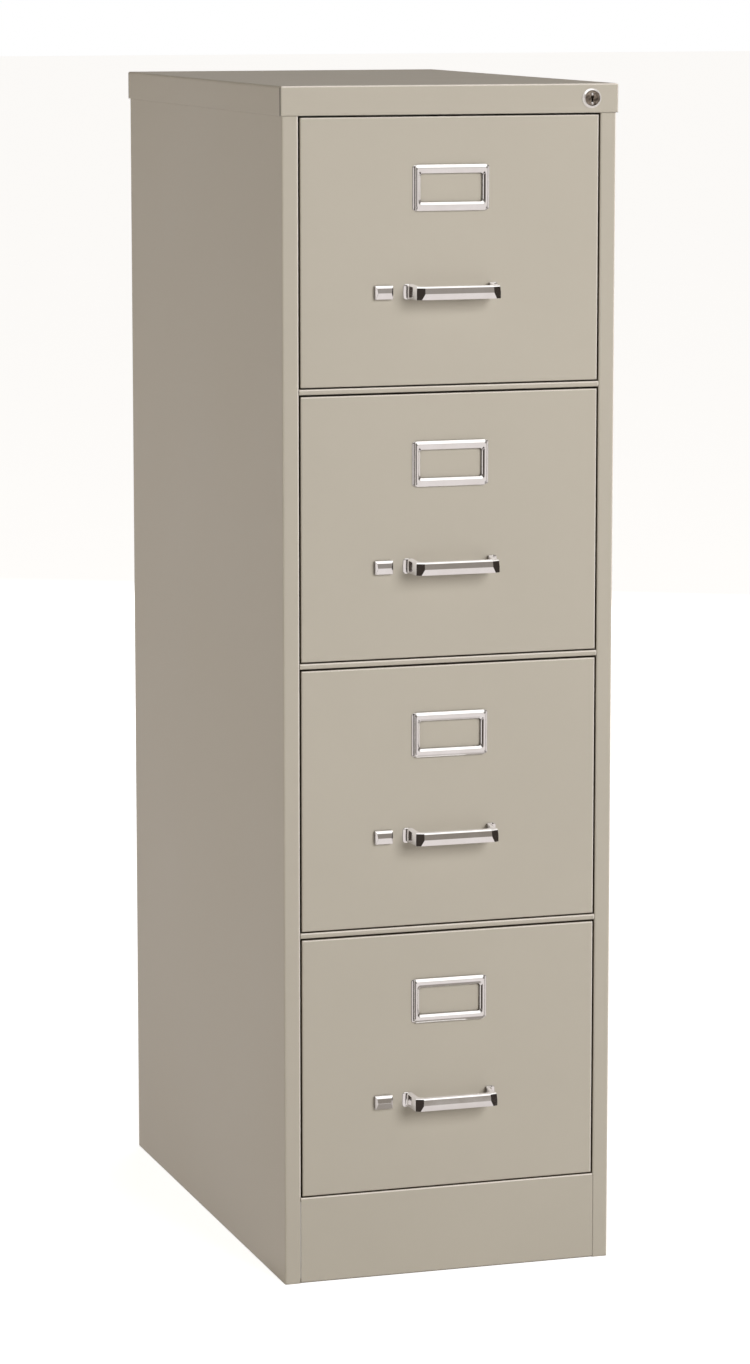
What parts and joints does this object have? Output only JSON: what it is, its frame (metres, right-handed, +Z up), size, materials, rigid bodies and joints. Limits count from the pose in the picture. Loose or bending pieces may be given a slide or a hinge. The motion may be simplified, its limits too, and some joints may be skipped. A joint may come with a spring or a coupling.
{
  "type": "filing cabinet",
  "caption": "Tall upright drawer cabinet in folded sheet steel with a lipped top cap, bar pulls, label frames, thumb latches and a round key lock.",
  "frame": {"origin": "on the floor, in the middle of the whole outline, pulls included", "axes": "+Z up, -Y out of the drawer fronts, +X to the right of someone facing them"},
  "size_m": [0.384, 0.6686, 1.3208],
  "materials": {
    "case_paint": "satin putty enamel",
    "front_paint": "satin putty enamel",
    "inner_paint": "satin putty enamel, thinner inside",
    "chrome": "bright plated",
    "zinc_steel": "zinc plated",
    "spring_steel": "blued strip",
    "lock_core": "dark nickel"
  },
  "bodies": {
    "case": {"left_side_panel": "case_paint", "right_side_panel": "case_paint", "back_panel": "case_paint", "top_cap": "case_paint", "base_front": "case_paint", "cross_rails": "case_paint", "floor_pan": "case_paint", "uprights": "case_paint", "cabinet_slides": "zinc_steel", "lock_barrel": "chrome"},
    "lock_core": {"lock_plug": "lock_core"},
    "lock_lift_bar": {"lock_bar": "zinc_steel"},
    "drawer_1": {"drawer_1_front": "front_paint", "drawer_1_body": "inner_paint", "drawer_1_sides": "inner_paint", "drawer_1_handle": "chrome", "drawer_1_label_holder": "chrome", "drawer_1_latch_spring": "spring_steel", "drawer_1_fixings": "zinc_steel", "drawer_1_runners": "zinc_steel"},
    "middle_slides_1": {"drawer_1_middle_slides": "zinc_steel"},
    "latch_1": {"drawer_1_latch_knob": "chrome", "drawer_1_latch_bar": "zinc_steel"},
    "follower_1": {"drawer_1_follower": "inner_paint"},
    "drawer_2": {"drawer_2_front": "front_paint", "drawer_2_body": "inner_paint", "drawer_2_sides": "inner_paint", "drawer_2_handle": "chrome", "drawer_2_label_holder": "chrome", "drawer_2_latch_spring": "spring_steel", "drawer_2_fixings": "zinc_steel", "drawer_2_runners": "zinc_steel"},
    "middle_slides_2": {"drawer_2_middle_slides": "zinc_steel"},
    "latch_2": {"drawer_2_latch_knob": "chrome", "drawer_2_latch_bar": "zinc_steel"},
    "follower_2": {"drawer_2_follower": "inner_paint"},
    "drawer_3": {"drawer_3_front": "front_paint", "drawer_3_body": "inner_paint", "drawer_3_sides": "inner_paint", "drawer_3_handle": "chrome", "drawer_3_label_holder": "chrome", "drawer_3_latch_spring": "spring_steel", "drawer_3_fixings": "zinc_steel", "drawer_3_runners": "zinc_steel"},
    "middle_slides_3": {"drawer_3_middle_slides": "zinc_steel"},
    "latch_3": {"drawer_3_latch_knob": "chrome", "drawer_3_latch_bar": "zinc_steel"},
    "follower_3": {"drawer_3_follower": "inner_paint"},
    "drawer_4": {"drawer_4_front": "front_paint", "drawer_4_body": "inner_paint", "drawer_4_sides": "inner_paint", "drawer_4_handle": "chrome", "drawer_4_label_holder": "chrome", "drawer_4_latch_spring": "spring_steel", "drawer_4_fixings": "zinc_steel", "drawer_4_runners": "zinc_steel"},
    "middle_slides_4": {"drawer_4_middle_slides": "zinc_steel"},
    "latch_4": {"drawer_4_latch_knob": "chrome", "drawer_4_latch_bar": "zinc_steel"},
    "follower_4": {"drawer_4_follower": "inner_paint"}
  },
  "joints": [
    {"name": "drawer_1_slide", "type": "slide", "parent": "case", "child": "drawer_1", "axis": [0, -1, 0], "range_m": [0, 0.54]},
    {"name": "middle_slides_1_travel", "type": "slide", "parent": "case", "child": "middle_slides_1", "axis": [0, -1, 0], "range_m": [0, 0.27]},
    {"name": "latch_1_thumb", "type": "slide", "parent": "drawer_1", "child": "latch_1", "axis": [1, 0, 0], "range_m": [0, 0.006], "stiffness_N_per_m": 400, "springref_m": -0.004, "deforming": ["drawer_1_latch_spring"]},
    {"name": "follower_1_slide", "type": "slide", "parent": "drawer_1", "child": "follower_1", "axis": [0, -1, 0], "range_m": [0, 0.4]},
    {"name": "drawer_2_slide", "type": "slide", "parent": "case", "child": "drawer_2", "axis": [0, -1, 0], "range_m": [0, 0.54]},
    {"name": "middle_slides_2_travel", "type": "slide", "parent": "case", "child": "middle_slides_2", "axis": [0, -1, 0], "range_m": [0, 0.27]},
    {"name": "latch_2_thumb", "type": "slide", "parent": "drawer_2", "child": "latch_2", "axis": [1, 0, 0], "range_m": [0, 0.006], "stiffness_N_per_m": 400, "springref_m": -0.004, "deforming": ["drawer_2_latch_spring"]},
    {"name": "follower_2_slide", "type": "slide", "parent": "drawer_2", "child": "follower_2", "axis": [0, -1, 0], "range_m": [0, 0.4]},
    {"name": "drawer_3_slide", "type": "slide", "parent": "case", "child": "drawer_3", "axis": [0, -1, 0], "range_m": [0, 0.54]},
    {"name": "middle_slides_3_travel", "type": "slide", "parent": "case", "child": "middle_slides_3", "axis": [0, -1, 0], "range_m": [0, 0.27]},
    {"name": "latch_3_thumb", "type": "slide", "parent": "drawer_3", "child": "latch_3", "axis": [1, 0, 0], "range_m": [0, 0.006], "stiffness_N_per_m": 400, "springref_m": -0.004, "deforming": ["drawer_3_latch_spring"]},
    {"name": "follower_3_slide", "type": "slide", "parent": "drawer_3", "child": "follower_3", "axis": [0, -1, 0], "range_m": [0, 0.4]},
    {"name": "drawer_4_slide", "type": "slide", "parent": "case", "child": "drawer_4", "axis": [0, -1, 0], "range_m": [0, 0.54]},
    {"name": "middle_slides_4_travel", "type": "slide", "parent": "case", "child": "middle_slides_4", "axis": [0, -1, 0], "range_m": [0, 0.27]},
    {"name": "latch_4_thumb", "type": "slide", "parent": "drawer_4", "child": "latch_4", "axis": [1, 0, 0], "range_m": [0, 0.006], "stiffness_N_per_m": 400, "springref_m": -0.004, "deforming": ["drawer_4_latch_spring"]},
    {"name": "follower_4_slide", "type": "slide", "parent": "drawer_4", "child": "follower_4", "axis": [0, -1, 0], "range_m": [0, 0.4]},
    {"name": "lock_bar_lift", "type": "slide", "parent": "case", "child": "lock_lift_bar", "axis": [0, 0, 1], "range_m": [0, 0.01131]},
    {"name": "lock_key_turn", "type": "hinge", "parent": "case", "child": "lock_core", "pos_m": [0.161, -0.30225, 1.30492], "axis": [0, -1, 0], "range_deg": [0, 90]}
  ],
  "couplings": [
    {"joint": "middle_slides_1_travel", "follows": "drawer_1_slide", "ratio": 0.5},
    {"joint": "middle_slides_2_travel", "follows": "drawer_2_slide", "ratio": 0.5},
    {"joint": "middle_slides_3_travel", "follows": "drawer_3_slide", "ratio": 0.5},
    {"joint": "middle_slides_4_travel", "follows": "drawer_4_slide", "ratio": 0.5},
    {"joint": "lock_key_turn", "follows": "lock_bar_lift", "rad_per_m": 138.84}
  ]
}
